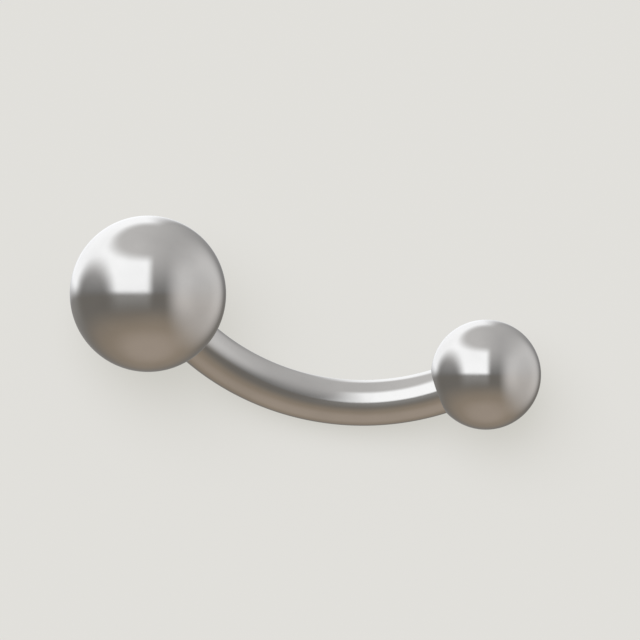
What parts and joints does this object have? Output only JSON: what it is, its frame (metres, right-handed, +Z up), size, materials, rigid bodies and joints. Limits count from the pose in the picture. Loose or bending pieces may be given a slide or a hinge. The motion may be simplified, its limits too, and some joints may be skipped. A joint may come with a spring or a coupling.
{
  "type": "curved eyebrow barbell",
  "caption": "Bent round steel bar with a larger and a smaller screwed-on ball, worn through a small fold of skin such as an eyebrow.",
  "frame": {"origin": "on the table, under the middle of the barbell as it lies on both balls and the belly of its bend", "axes": "+Z up from the table, +X from the larger ball to the smaller one, the belly of the bend towards -Y"},
  "size_m": [0.013, 0.0042, 0.0042],
  "materials": {
    "bar_steel": "gloss",
    "ball_steel": "gloss"
  },
  "bodies": {
    "bar": {"bar": "bar_steel"},
    "large_ball": {"large_ball": "ball_steel"},
    "small_ball": {"small_ball": "ball_steel"}
  },
  "joints": [
    {"name": "large_ball_unscrew", "type": "slide", "parent": "bar", "child": "large_ball", "axis": [-0.8276, 0.4078, 0.3856], "range_m": [0, 0.0022]},
    {"name": "small_ball_unscrew", "type": "slide", "parent": "bar", "child": "small_ball", "axis": [0.8331, 0.4551, 0.3144], "range_m": [0, 0.0022]}
  ]
}
